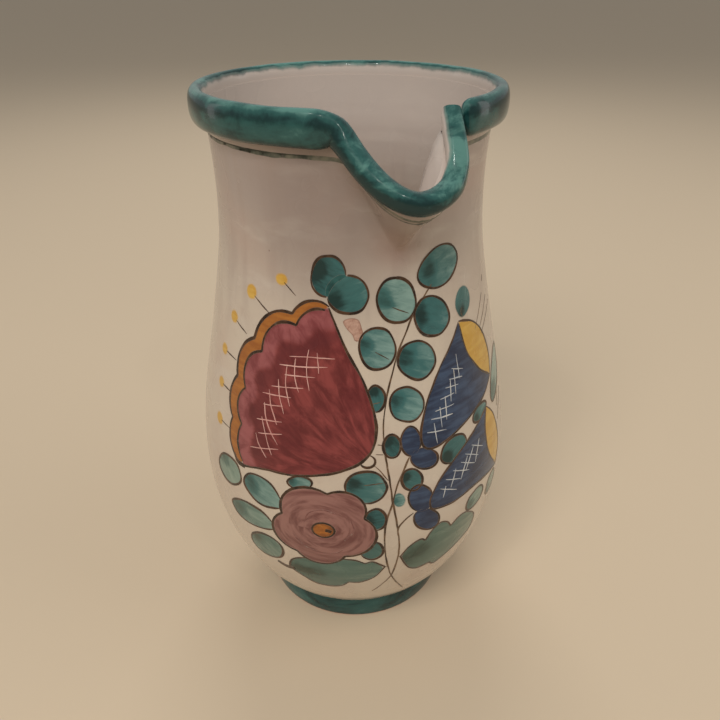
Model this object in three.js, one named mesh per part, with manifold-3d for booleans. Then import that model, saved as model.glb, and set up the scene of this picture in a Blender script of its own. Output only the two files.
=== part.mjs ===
// A thrown ceramic pitcher: a round foot, a bellied wall with a pouring beak
// pulled out of its neck, a thick roll around the mouth, a thinner roll along
// the lip of the beak, and a strap handle at the back.
// Millimetres, +Z up. The origin is the middle of the foot's flat underside.
// The beak points along -Y and the handle along +Y.

import * as THREE from 'three';
import { mergeVertices } from 'three/addons/utils/BufferGeometryUtils.js';
import Module from 'manifold-3d';

// Driving dimensions
const BODY_HEIGHT = 275; // table to the top of the roll
const BELLY_RADIUS = 79.3; // widest part of the wall
const NECK_RADIUS = 59.2; // narrowest part above the belly
const FOOT_RADIUS = 50.8; // flat underside
const FOOT_HEIGHT = 12.2;
const WALL = 5.6; // thickness of the thrown wall
const FLOOR = 8.5; // thickness of the floor
const ROLL_WIDTH = 11.8; // the roll around the mouth, across
const ROLL_HEIGHT = 14.4; // the same roll, top to bottom
const LIP_SCALE = 0.7; // the beak's roll against the mouth's roll
const BEAK_HALF_ANGLE = 22.5; // degrees each side of -Y
const BEAK_REACH = 19; // how far the tip stands out of the neck
const BEAK_DROP = 25; // how far the tip hangs below the mouth
const BEAK_DEPTH = 40; // from the top of the wall to the foot of the beak
const STRAP_WIDTH = 27; // handle, across
const STRAP_THICK = 11; // handle, through
const HANDLE_REACH = 34; // clear space behind the neck
const HANDLE_TOP = 0.83; // heights as shares of BODY_HEIGHT
const HANDLE_FOOT = 0.43;

// Fits
const GAP = 0.3; // between two pieces that touch

// How finely the round pieces are divided
const ROUND = 80; // 4.5 degrees each, so five steps make half the beak
const AROUND_ROLL = 12;

const wallBottom = FOOT_HEIGHT + GAP;
const wallTop = BODY_HEIGHT - ROLL_HEIGHT - GAP;
const rollRadius = NECK_RADIUS + 0.9;
const wallHeight = wallTop - wallBottom;

// The outside of the wall: radius against height, as a smooth line through
// the foot joint, the shoulder over the foot, the belly, the neck and the top.
function at(share, radius) {
  return new THREE.Vector2(radius, wallBottom + share * wallHeight);
}
const outline = new THREE.SplineCurve([
  at(0, FOOT_RADIUS - 0.5),
  at(0.04, FOOT_RADIUS + 8.2),
  at(0.145, BELLY_RADIUS - 7.4),
  at(0.347, BELLY_RADIUS),
  at(0.5, BELLY_RADIUS - 4.3),
  at(0.64, NECK_RADIUS + 8.1),
  at(0.78, NECK_RADIUS + 1.9),
  at(0.9, NECK_RADIUS),
  at(1, NECK_RADIUS + 1.1),
]);
// Rows of the wall: even steps up to the beak, closer ones through it
const BELOW_BEAK = 11;
const IN_BEAK = 7;

// Outside radius of the wall at a height
function radiusAt(height) {
  const points = outline.getPoints(400);
  for (let i = 1; i < points.length; i += 1) {
    if (points[i].y >= height) {
      const a = points[i - 1];
      const b = points[i];
      return a.x + (b.x - a.x) * (height - a.y) / (b.y - a.y);
    }
  }
  return points[points.length - 1].x;
}

function wallRows() {
  const beakFoot = wallTop - BEAK_DEPTH;
  const rows = outline.getSpacedPoints(BELOW_BEAK).map((point) => {
    const share = (point.y - wallBottom) / wallHeight;
    return wallBottom + share * (beakFoot - wallBottom);
  });
  for (let i = 1; i <= IN_BEAK; i += 1) {
    rows.push(beakFoot + BEAK_DEPTH * i / IN_BEAK);
  }
  return rows.map((row) => new THREE.Vector2(radiusAt(row), row));
}

// A profile of (radius, height) turned about +Z
function turned(points) {
  const shape = new THREE.LatheGeometry(points, ROUND);
  shape.rotateX(Math.PI / 2);
  shape.deleteAttribute('normal');
  shape.deleteAttribute('uv');
  return mergeVertices(shape, 1e-4);
}

// The beak: how far the clay is pulled at an angle from -Y and a height.
// It is widest at the mouth and narrows to nothing at the foot of the beak.
function beakPull(angle, height) {
  const share = (height - (wallTop - BEAK_DEPTH)) / BEAK_DEPTH;
  const climb = THREE.MathUtils.clamp(share, 0, 1);
  const half = BEAK_HALF_ANGLE * (0.4 + 0.6 * climb);
  const across = Math.abs(angle) / half;
  if (climb === 0 || across >= 1) {
    return 0;
  }
  return climb * Math.cos(across * Math.PI / 2);
}

function pullBeak(shape) {
  const place = shape.attributes.position;
  for (let i = 0; i < place.count; i += 1) {
    const x = place.getX(i);
    const y = place.getY(i);
    const z = place.getZ(i);
    const radius = Math.hypot(x, y);
    const angle = THREE.MathUtils.radToDeg(Math.atan2(x, -y));
    const pull = beakPull(angle, z);
    if (radius > NECK_RADIUS / 2 && pull > 0) {
      const grown = (radius + pull * BEAK_REACH) / radius;
      place.setXYZ(i, x * grown, y * grown, z - pull * BEAK_DROP);
    }
  }
  shape.computeVertexNormals();
  return shape;
}

// A closed skin over a row of matching rings, with a cap on each end
function skin(rings) {
  const places = [];
  const faces = [];
  const count = rings[0].length;
  for (const ring of rings) {
    for (const point of ring) {
      places.push(point.x, point.y, point.z);
    }
  }
  for (let i = 0; i + 1 < rings.length; i += 1) {
    for (let j = 0; j < count; j += 1) {
      const a = i * count + j;
      const b = i * count + ((j + 1) % count);
      faces.push(a, b, b + count);
      faces.push(a, b + count, a + count);
    }
  }
  for (const last of [false, true]) {
    const ring = rings[last ? rings.length - 1 : 0];
    const middle = new THREE.Vector3();
    for (const point of ring) {
      middle.addScaledVector(point, 1 / count);
    }
    const centre = places.length / 3;
    places.push(middle.x, middle.y, middle.z);
    const first = last ? (rings.length - 1) * count : 0;
    for (let j = 0; j < count; j += 1) {
      const a = first + j;
      const b = first + ((j + 1) % count);
      faces.push(...(last ? [a, b, centre] : [b, a, centre]));
    }
  }
  // Faces look outwards: the volume they enclose is positive
  const corner = (i) => new THREE.Vector3().fromArray(places, 3 * faces[i]);
  let volume = 0;
  for (let i = 0; i < faces.length; i += 3) {
    volume += corner(i).dot(corner(i + 1).cross(corner(i + 2)));
  }
  if (volume < 0) {
    faces.reverse();
  }
  const shape = new THREE.BufferGeometry();
  shape.setAttribute('position', new THREE.Float32BufferAttribute(places, 3));
  shape.setIndex(faces);
  return shape;
}

// Section of a roll: round over the top, flat where it sits on the wall.
// Returns (out from the middle, up from the wall) for a roll of some scale.
function rollSection(scale) {
  const points = [];
  const flat = Math.cos(Math.PI / AROUND_ROLL);
  for (let i = 0; i < AROUND_ROLL; i += 1) {
    const turn = (i + 0.5) * 2 * Math.PI / AROUND_ROLL;
    const out = Math.sin(turn) * ROLL_WIDTH / 2;
    const up = (1 - Math.cos(turn) / flat) * ROLL_HEIGHT / 2;
    points.push(new THREE.Vector2(out * scale, up * scale));
  }
  return points;
}

// A roll around the mouth from one angle to another, in degrees from -Y
function roll(from, to, steps, scale) {
  const rings = [];
  for (let i = 0; i <= steps; i += 1) {
    const angle = from + (to - from) * i / steps;
    const turn = THREE.MathUtils.degToRad(angle);
    const ring = [];
    for (const point of rollSection(scale)) {
      const radius = rollRadius + point.x;
      const height = wallTop + GAP + point.y;
      ring.push(new THREE.Vector3(
        Math.sin(turn) * radius,
        -Math.cos(turn) * radius,
        height,
      ));
    }
    rings.push(ring);
  }
  return skin(rings);
}

// Joins and cuts
const wasm = await Module();
wasm.setup();

function solid(shape) {
  const bare = shape.clone();
  for (const name of Object.keys(bare.attributes)) {
    if (name !== 'position') {
      bare.deleteAttribute(name);
    }
  }
  const merged = mergeVertices(bare, 1e-4);
  return new wasm.Manifold(new wasm.Mesh({
    numProp: 3,
    vertProperties: new Float32Array(merged.attributes.position.array),
    triVerts: new Uint32Array(merged.index.array),
  }));
}

function geometry(body) {
  const mesh = body.getMesh();
  const shape = new THREE.BufferGeometry();
  const places = new THREE.BufferAttribute(mesh.vertProperties, 3);
  shape.setAttribute('position', places);
  shape.setIndex(new THREE.BufferAttribute(mesh.triVerts, 1));
  return shape;
}

// The foot: a flat disc with eased edges
function makeFoot() {
  return turned([
    new THREE.Vector2(0, 0),
    new THREE.Vector2(FOOT_RADIUS - 1.6, 0),
    new THREE.Vector2(FOOT_RADIUS, 1.8),
    new THREE.Vector2(FOOT_RADIUS - 0.2, FOOT_HEIGHT - 2.2),
    new THREE.Vector2(FOOT_RADIUS - 1.4, FOOT_HEIGHT),
    new THREE.Vector2(0, FOOT_HEIGHT),
  ]);
}

// The wall and floor, thrown in one piece
function makeWall() {
  const outside = wallRows();
  const inside = [];
  for (const point of outside) {
    const high = point.y > wallBottom + FLOOR + 6;
    if (high) {
      inside.push(new THREE.Vector2(point.x - WALL, point.y));
    }
  }
  inside.reverse();
  const floorRadius = inside[inside.length - 1].x;
  return pullBeak(turned([
    new THREE.Vector2(0, wallBottom),
    ...outside,
    ...inside,
    new THREE.Vector2(floorRadius - 9, wallBottom + FLOOR),
    new THREE.Vector2(0, wallBottom + FLOOR),
  ]));
}

// The strap handle: pulled clay, oval across, wider at both ends, cut back
// so that it lies against the wall
function makeHandle() {
  const top = BODY_HEIGHT * HANDLE_TOP;
  const foot = BODY_HEIGHT * HANDLE_FOOT;
  const neck = radiusAt(top);
  const belly = radiusAt(foot);
  const out = neck + HANDLE_REACH + STRAP_THICK / 2;
  const line = new THREE.CatmullRomCurve3([
    new THREE.Vector3(0, neck - WALL / 2, top - 2),
    new THREE.Vector3(0, neck + HANDLE_REACH * 0.55, top + 7),
    new THREE.Vector3(0, out, top - 22),
    new THREE.Vector3(0, out - 1, (top + foot) / 2 - 4),
    new THREE.Vector3(0, belly + HANDLE_REACH * 0.3, foot + 11),
    new THREE.Vector3(0, belly - WALL / 2, foot - 4),
  ], false, 'centripetal');
  const rings = [];
  const steps = 26;
  const sides = 16;
  for (let i = 0; i <= steps; i += 1) {
    const share = i / steps;
    const middle = line.getPointAt(share);
    const along = line.getTangentAt(share);
    const through = new THREE.Vector3(0, -along.z, along.y);
    const flare = 1 + 0.35 * Math.pow(Math.abs(2 * share - 1), 6);
    const ring = [];
    for (let j = 0; j < sides; j += 1) {
      const turn = j * 2 * Math.PI / sides;
      const point = middle.clone();
      point.x += Math.cos(turn) * STRAP_WIDTH / 2 * flare;
      point.addScaledVector(through, Math.sin(turn) * STRAP_THICK / 2 * flare);
      ring.push(point);
    }
    rings.push(ring);
  }
  const strap = solid(skin(rings));
  const cleared = wallRows();
  const envelope = solid(turned([
    new THREE.Vector2(0, wallBottom),
    ...cleared.map((point) => new THREE.Vector2(point.x + GAP, point.y)),
    new THREE.Vector2(0, wallTop),
  ]));
  return geometry(strap.subtract(envelope));
}

const endGap = THREE.MathUtils.radToDeg(GAP / 2 / (rollRadius - ROLL_WIDTH / 2));
const beakFrom = -BEAK_HALF_ANGLE;
const beakTo = BEAK_HALF_ANGLE;

const collarSteps = 45;
const collar = roll(beakTo + endGap, 360 + beakFrom - endGap, collarSteps, 1);
collar.computeVertexNormals();
const lip = pullBeak(roll(beakFrom + endGap, beakTo - endGap, 10, LIP_SCALE));

const glaze = { color: 0xc8baac, roughness: 0.22, metalness: 0 };
const green = { color: 0x3c7d6e, roughness: 0.2, metalness: 0 };

function piece(name, shape, look) {
  const mesh = new THREE.Mesh(shape, new THREE.MeshStandardMaterial(look));
  mesh.name = name;
  return mesh;
}

const pitcher = new THREE.Group();
pitcher.name = 'pitcher';
pitcher.add(piece('foot', makeFoot(), green));
pitcher.add(piece('vessel_wall', makeWall(), glaze));
pitcher.add(piece('mouth_collar', collar, green));
pitcher.add(piece('beak_lip', lip, green));
pitcher.add(piece('handle', makeHandle(), glaze));

export default pitcher;
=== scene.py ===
"""A thrown ceramic pitcher with painted flowers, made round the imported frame.

Places on the painting are millimetres on the unrolled belly: the first number
is how far round to the right of the beak, the second the height over the table.
"""
import math
from collections import namedtuple

import bpy
from mathutils import Matrix, Vector, noise


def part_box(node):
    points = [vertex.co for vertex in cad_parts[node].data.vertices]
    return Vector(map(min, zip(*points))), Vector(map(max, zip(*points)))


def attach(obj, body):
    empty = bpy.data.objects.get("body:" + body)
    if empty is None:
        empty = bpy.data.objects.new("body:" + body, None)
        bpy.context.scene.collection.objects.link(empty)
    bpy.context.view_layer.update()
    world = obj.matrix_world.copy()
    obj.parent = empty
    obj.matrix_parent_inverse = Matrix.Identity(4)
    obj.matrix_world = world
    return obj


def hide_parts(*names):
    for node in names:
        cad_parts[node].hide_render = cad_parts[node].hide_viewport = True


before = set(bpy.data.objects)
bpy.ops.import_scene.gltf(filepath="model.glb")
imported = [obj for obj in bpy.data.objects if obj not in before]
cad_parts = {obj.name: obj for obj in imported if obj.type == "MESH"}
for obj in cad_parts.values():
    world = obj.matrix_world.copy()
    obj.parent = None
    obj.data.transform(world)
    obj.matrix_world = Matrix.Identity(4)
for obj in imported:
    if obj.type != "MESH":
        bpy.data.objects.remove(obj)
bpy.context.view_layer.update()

MM = 0.001

# ---------------------------------------------------------------- the vessel
foot_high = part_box("foot")[1]
roll_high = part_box("mouth_collar")[1]
FOOT_TOP = foot_high[2] / MM + 1.3
FOOT_RADIUS = foot_high[0] / MM
RIM_TOP = roll_high[2] / MM
ROLL_HEIGHT = 13.5
ROLL_WIDTH = 6.8
ROLL_RADIUS = roll_high[0] / MM - 2.6
ROLL_MIDDLE = RIM_TOP - 8.5
WALL = 5.6
FLOOR = 8.5
WALL_TOP = RIM_TOP - 14.7
BEAK_HALF = math.radians(22.5)
BEAK_REACH = 19.0
BEAK_DROP = 22.6
BEAK_FOOT = WALL_TOP - 41.0
# Columns of the wall start to gather this far under the foot of the beak
GATHERING = 70.0
STRAP_WIDTH = 27.0
STRAP_THICK = 11.0
STRAP_TOP = 228.0
STRAP_FOOT = 118.0
# The drawing is unrolled at this radius
DRAWING_RADIUS = 75.0
# How far washes, lines and scratches stand off the wall
WASH, LINE, SCRATCH = 0.05, 0.15, 0.2

# Height over the table and outside radius of the wall
WALL_LINE = [
    (12.2, 50.2), (15.5, 52.8), (20.9, 57.3), (32.8, 65.0), (47.8, 71.5),
    (62.7, 76.0), (80.6, 78.8), (98.5, 79.3), (116.5, 77.9), (134.4, 75.2),
    (170.2, 67.6), (206.0, 61.0), (224.0, 59.4), (240.0, 59.2), (254.0, 59.9),
    (269.0, 60.7),
]


def ease(share):
    """0 to 1, slow at both ends."""
    share = max(0.0, min(1.0, share))
    return share * share * (3 - 2 * share)


def wall_radius(height):
    """Outside radius at a height, smooth through the wall's line."""
    line = WALL_LINE
    height = min(max(height, line[0][0]), line[-1][0])
    i = 0
    while i + 2 < len(line) and height > line[i + 1][0]:
        i += 1

    def slope(k):
        a, b = line[max(k - 1, 0)], line[min(k + 1, len(line) - 1)]
        return (b[1] - a[1]) / (b[0] - a[0])

    (z0, r0), (z1, r1) = line[i], line[i + 1]
    step = z1 - z0
    t = (height - z0) / step
    return ((2 * t**3 - 3 * t**2 + 1) * r0 + (t**3 - 2 * t**2 + t) * step * slope(i)
            + (-2 * t**3 + 3 * t**2) * r1 + (t**3 - t**2) * step * slope(i + 1))


def beak_arch(across):
    """1 at the beak's middle, 0 at its corners; soft on the left, tight on the right."""
    if abs(across) < 1:
        arch = math.cos(across * math.pi / 2)
    else:
        arch = -(abs(across) - 1) * math.pi / 2
    left_corner, right_corner = 0.16, 0.05
    round_off = left_corner if across < 0 else right_corner
    soft = (arch + math.sqrt(arch * arch + round_off * round_off)) / 2
    fade = max(0.0, min(1.0, (1.6 - abs(across)) / 0.5))
    return soft * fade


def beak_climb(height):
    """0 at the foot of the beak, 1 where its wall meets the roll."""
    share = (height - BEAK_FOOT) / (WALL_TOP - BEAK_FOOT)
    return max(0.0, min(1.0, share))


def beak_half(height):
    """The fold narrows from the mouth to a point at the foot of the beak."""
    return BEAK_HALF * (0.12 + 0.88 * beak_climb(height))


def pull(angle, height):
    """How far the clay is drawn into the beak at an angle from the front."""
    climb = beak_climb(height)
    if climb == 0:
        return 0.0
    return climb ** 1.1 * beak_arch(angle / beak_half(height))


def pulled(angle, height, radius):
    """A point on a radius, moved out and down where the beak is drawn."""
    drawn = pull(angle, height)
    out = radius + BEAK_REACH * drawn
    return Vector((math.sin(angle) * out, -math.cos(angle) * out, height - BEAK_DROP * drawn))


def on_wall(angle, height, lift=0.0):
    """A point on the outside of the wall, lifted off it by some millimetres."""
    here = pulled(angle, height, wall_radius(height))
    if lift:
        side = pulled(angle + 0.004, height, wall_radius(height))
        above = pulled(angle, height + 0.3, wall_radius(height + 0.3))
        here = here + (side - here).cross(above - here).normalized() * lift
    return here


def ledge(angle):
    """Height of the small step under the roll; it rides up under the beak."""
    return WALL_TOP - 3.4 + 4.2 * min(1.0, 1.5 * beak_arch(angle / BEAK_HALF))


def thickness(height, angle=math.pi):
    """The mouth is pinched thin where it flares out to the roll, and the clay
    lies thick in the fold at the beak's right corner."""
    pinch, heap = 4.3, 2.4
    across = angle / BEAK_HALF
    beside = ease((abs(across) - 1.0) / 0.6)
    in_fold = max(0.0, 1 - abs(across - 0.95) / 0.45)
    rising = ease((height - 228) / 20) * (1 - 0.8 * ease((height - 252) / 14))
    return WALL - pinch * ease((height - 212) / 56) * beside + heap * in_fold * rising


def draped(x, y, lift):
    """A point of the flat drawing, laid on the wall, in metres."""
    return on_wall(x / DRAWING_RADIUS, y, lift) * MM


# ---------------------------------------------------------------- mesh helpers
def new_piece(name):
    """Names the object that an operator has just made."""
    piece = bpy.context.active_object
    piece.name = piece.data.name = name
    return piece


def alone(piece):
    bpy.ops.object.select_all(action="DESELECT")
    piece.select_set(True)
    bpy.context.view_layer.objects.active = piece


def tidy_mesh(piece, merge=1e-6, recalc=True):
    alone(piece)
    bpy.ops.object.mode_set(mode="EDIT")
    bpy.ops.mesh.select_all(action="SELECT")
    bpy.ops.mesh.remove_doubles(threshold=merge)
    if recalc:
        bpy.ops.mesh.normals_make_consistent(inside=False)
    bpy.ops.object.mode_set(mode="OBJECT")


def smooth(piece, degrees=40):
    alone(piece)
    bpy.ops.object.shade_smooth_by_angle(angle=math.radians(degrees))


def joined(pieces, name):
    bpy.ops.object.select_all(action="DESELECT")
    for piece in pieces:
        piece.select_set(True)
    bpy.context.view_layer.objects.active = pieces[0]
    if len(pieces) > 1:
        bpy.ops.object.join()
    return new_piece(name)


def finish_piece(piece, material, *nodes, slot="cream_glaze"):
    piece.data.materials.clear()
    piece.data.materials.append(material)
    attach(piece, "root")
    if nodes:
        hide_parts(*nodes)


def rod(name, sides, cuts):
    """A straight rod of unit length and radius, cut across many times."""
    bpy.ops.object.select_all(action="DESELECT")
    bpy.ops.mesh.primitive_cylinder_add(vertices=sides, radius=1, depth=1, end_fill_type="TRIFAN")
    piece = new_piece(name)
    bpy.ops.object.mode_set(mode="EDIT")
    bpy.ops.mesh.select_mode(type="EDGE")
    for cut in cuts:
        bpy.ops.mesh.select_all(action="DESELECT")
        bpy.ops.object.mode_set(mode="OBJECT")
        corners = piece.data.vertices
        for edge in piece.data.edges:
            a, b = (corners[i].co for i in edge.vertices)
            edge.select = abs(a.z - b.z) > 1e-4
        bpy.ops.object.mode_set(mode="EDIT")
        bpy.ops.mesh.subdivide(number_cuts=cut)
    bpy.ops.mesh.select_mode(type="VERT")
    bpy.ops.object.mode_set(mode="OBJECT")
    return piece


# ---------------------------------------------------------------- materials
def srgb(r, g, b):
    def linear(c):
        c /= 255
        return c / 12.92 if c <= 0.04045 else ((c + 0.055) / 1.055) ** 2.4
    return (linear(r), linear(g), linear(b), 1.0)


class Nodes:
    """Short words for adding nodes to a tree."""

    def __init__(self, tree):
        self.tree = tree

    def add(self, kind, **values):
        node = self.tree.nodes.new(kind)
        for key, value in values.items():
            setattr(node, key, value)
        return node

    def put(self, socket, value):
        if isinstance(value, bpy.types.NodeSocket):
            self.tree.links.new(value, socket)
        else:
            socket.default_value = value

    def maths(self, what, a, b=0.0, c=0.0, clamp=False):
        node = self.add("ShaderNodeMath", operation=what, use_clamp=clamp)
        for socket, value in zip(node.inputs, (a, b, c)):
            self.put(socket, value)
        return node.outputs[0]

    def vector(self, what, a, b=(0, 0, 0)):
        node = self.add("ShaderNodeVectorMath", operation=what)
        self.put(node.inputs[0], a)
        self.put(node.inputs[1], b)
        return node.outputs["Value" if what in ("LENGTH", "DISTANCE", "DOT_PRODUCT") else "Vector"]

    def mix(self, share, a, b, blend="MIX"):
        node = self.add("ShaderNodeMix", data_type="RGBA", blend_type=blend)
        self.put(node.inputs[0], share)
        self.put(node.inputs[6], a)
        self.put(node.inputs[7], b)
        return node.outputs[2]

    def mix_number(self, share, a, b):
        node = self.add("ShaderNodeMix", data_type="FLOAT")
        for index, value in zip((0, 2, 3), (share, a, b)):
            self.put(node.inputs[index], value)
        return node.outputs[0]

    def band(self, value, low, high, to_low=0.0, to_high=1.0):
        node = self.add("ShaderNodeMapRange", interpolation_type="SMOOTHSTEP")
        for socket, v in zip(node.inputs, (value, low, high, to_low, to_high)):
            self.put(socket, v)
        return node.outputs[0]

    def noise(self, where, scale, detail=3.0, rough=0.5, warp=0.0, colour=False):
        node = self.add("ShaderNodeTexNoise")
        self.put(node.inputs["Vector"], where)
        node.inputs["Scale"].default_value = scale
        node.inputs["Detail"].default_value = detail
        node.inputs["Roughness"].default_value = rough
        node.inputs["Distortion"].default_value = warp
        return node.outputs["Color" if colour else "Fac"]

    def scaled(self, where, scale, turn=0.0):
        node = self.add("ShaderNodeMapping")
        self.put(node.inputs["Vector"], where)
        node.inputs["Scale"].default_value = scale
        node.inputs["Rotation"].default_value = (0, 0, turn)
        return node.outputs[0]

    def parts(self, vector):
        node = self.add("ShaderNodeSeparateXYZ")
        self.put(node.inputs[0], vector)
        return node.outputs

    def vector_of(self, *parts):
        node = self.add("ShaderNodeCombineXYZ")
        for socket, value in zip(node.inputs, parts):
            self.put(socket, value)
        return node.outputs[0]

    def times(self, a, b):
        return self.maths("MULTIPLY", a, b)

    def plus(self, a, b):
        return self.maths("ADD", a, b)

    def minus(self, a, b):
        return self.maths("SUBTRACT", a, b)

    def apart(self, value, middle):
        """How far a value is from a middle, either way."""
        return self.maths("ABSOLUTE", self.minus(value, middle))

    def place(self):
        return self.add("ShaderNodeTexCoord").outputs["Object"]

    def uv(self, name):
        return self.add("ShaderNodeUVMap", uv_map=name).outputs[0]

    def mark(self, name):
        return self.add("ShaderNodeAttribute", attribute_name=name).outputs["Fac"]

    def group(self, tree, **values):
        node = self.add("ShaderNodeGroup")
        node.node_tree = tree
        for key, value in values.items():
            self.put(node.inputs[key], value)
        return node.outputs


def new_group(name, inputs, outputs):
    tree = bpy.data.node_groups.new(name, "ShaderNodeTree")
    for label, kind, value in inputs:
        socket = tree.interface.new_socket(label, in_out="INPUT", socket_type=kind)
        socket.default_value = value
    for label, kind in outputs:
        tree.interface.new_socket(label, in_out="OUTPUT", socket_type=kind)
    n = Nodes(tree)
    return tree, n, n.add("NodeGroupInput").outputs, n.add("NodeGroupOutput").inputs


COLOUR, NUMBER = "NodeSocketColor", "NodeSocketFloat"


def tin_glaze_group():
    """The cream ground: blushes, painted shade that darkens the neck, pinholes, throwing rings."""
    tree, n, _, out = new_group(
        "TinGlaze", [],
        [("Colour", COLOUR), ("Roughness", NUMBER), ("Height", NUMBER)])
    where = n.place()
    height = n.parts(where)["Z"]

    cream = srgb(206, 192, 174)
    # Painted shade: the neck is given a darker, duller tone than the belly, where less light falls
    neck_shade_tone = srgb(168, 154, 146)
    tone = n.mix(n.band(height, 0.17, 0.25), cream, neck_shade_tone)
    runs = n.noise(n.scaled(where, (110, 110, 7)), 1.0, 3.0, 0.5)
    runs = n.times(n.band(runs, 0.45, 0.7), n.band(height, 0.15, 0.24, 0.1, 0.5))
    tone = n.mix(runs, tone, srgb(166, 150, 140))
    patches = n.noise(where, 14.0, 4.0, 0.55, 0.6)
    tone = n.mix(n.band(patches, 0.45, 0.75, 0.0, 0.45), tone, srgb(188, 160, 145))
    drift = n.noise(n.scaled(where, (1, 1, 3.0)), 32.0, 3.0, 0.6)
    tone = n.mix(n.band(drift, 0.5, 0.8, 0.0, 0.35), tone, srgb(212, 203, 190))
    cloud = n.noise(where, 60.0, 5.0, 0.7)
    tone = n.mix(n.band(cloud, 0.52, 0.72, 0.0, 0.22), tone, srgb(172, 150, 138))

    # Painted shade: the front of the neck under the beak is made darker, where less light falls
    front_neck_shade = n.vector("DISTANCE", n.vector("MULTIPLY", where, (1, 1, 0.7)), (-0.026, -0.055, 0.168))
    tone = n.mix(n.band(front_neck_shade, 0.045, 0.01, 0.0, 0.5), tone, srgb(128, 112, 106))
    # A small patch just under the beak's lip is made warmer and darker
    fold = draped(-2, 226, 0)
    near = n.vector("DISTANCE", where, tuple(fold))
    tone = n.mix(n.band(near, 0.015, 0.003, 0.0, 0.38), tone, srgb(148, 112, 98))

    # Pinholes and iron specks
    specks = n.add("ShaderNodeTexVoronoi", feature="F1")
    n.put(specks.inputs["Vector"], where)
    specks.inputs["Scale"].default_value = 85.0
    chance = n.add("ShaderNodeSeparateColor")
    n.put(chance.inputs[0], specks.outputs["Color"])
    few = n.maths("GREATER_THAN", chance.outputs[0], 0.93)
    hole = n.times(few, n.band(specks.outputs["Distance"], 0.055, 0.02))
    tone = n.mix(n.times(hole, 0.75), tone, srgb(92, 66, 54))
    n.put(out["Colour"], tone)

    wet = n.noise(where, 45.0, 2.0, 0.5)
    n.put(out["Roughness"], n.band(wet, 0.3, 0.7, 0.2, 0.3))
    rings = n.noise(n.scaled(where, (5.0, 5.0, 95.0)), 1.0, 2.0, 0.5, 0.3)
    ripple = n.noise(where, 55.0, 2.0, 0.5)
    body = n.plus(n.times(rings, 0.5), n.times(ripple, 0.25))
    n.put(out["Height"], n.minus(body, n.times(hole, 0.5)))
    return tree


def green_glaze_group():
    """Copper green: brushed thick and thin, nearly black where it pools."""
    tree, n, given, out = new_group(
        "CopperGreen",
        [("Vector", "NodeSocketVector", (0, 0, 0)), ("Depth", NUMBER, 0.5)],
        [("Colour", COLOUR), ("Height", NUMBER)])
    where = given["Vector"]
    pools = n.noise(where, 60.0, 4.0, 0.6, 0.5)
    deep = n.plus(pools, n.minus(given["Depth"], 0.5))
    tone = n.mix(n.band(deep, 0.28, 0.5), srgb(88, 134, 126), srgb(42, 86, 83))
    tone = n.mix(n.band(deep, 0.48, 0.72), tone, srgb(18, 50, 50))
    thin = n.noise(where, 150.0, 3.0, 0.6)
    tone = n.mix(n.band(thin, 0.6, 0.8, 0.0, 0.25), tone, srgb(112, 156, 142))
    n.put(out["Colour"], tone)
    n.put(out["Height"], n.noise(where, 90.0, 3.0, 0.5))
    return tree


def glazed(name):
    """A shiny fired surface: the material, its node helper and its shader."""
    material = bpy.data.materials.new(name)
    material.use_nodes = True
    tree = material.node_tree
    shader = tree.nodes["Principled BSDF"]
    n = Nodes(tree)
    shader.inputs["IOR"].default_value = 1.36
    shader.inputs["Coat Weight"].default_value = 0.35
    shader.inputs["Coat Roughness"].default_value = 0.06
    shader.inputs["Coat IOR"].default_value = 1.45
    return material, n, shader


def wire_up(n, shader, colour, roughness, height, strength=0.25, distance=0.0008):
    n.put(shader.inputs["Base Color"], colour)
    n.put(shader.inputs["Roughness"], roughness)
    bump = n.add("ShaderNodeBump")
    bump.inputs["Strength"].default_value = strength
    bump.inputs["Distance"].default_value = distance
    n.put(bump.inputs["Height"], height)
    n.put(shader.inputs["Normal"], bump.outputs[0])


TIN = tin_glaze_group()
GREEN = green_glaze_group()


def painted_light_inside(n, colour, inside):
    """Painted light: the upper inside of the mouth is made whiter, standing in for the light that reaches
    it.
    """
    share = n.times(inside, n.band(n.parts(n.place())["Z"], 0.2, 0.262, 0.0, 0.8))
    return n.mix(share, colour, srgb(206, 194, 184))


def cream_glaze():
    material, n, shader = glazed("cream_tin_glaze")
    ground = n.group(TIN)
    # Painted light on the upper inside of the mouth
    colour = painted_light_inside(n, ground["Colour"], n.mark("inner"))
    wire_up(n, shader, colour, ground["Roughness"], ground["Height"])
    return material


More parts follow.
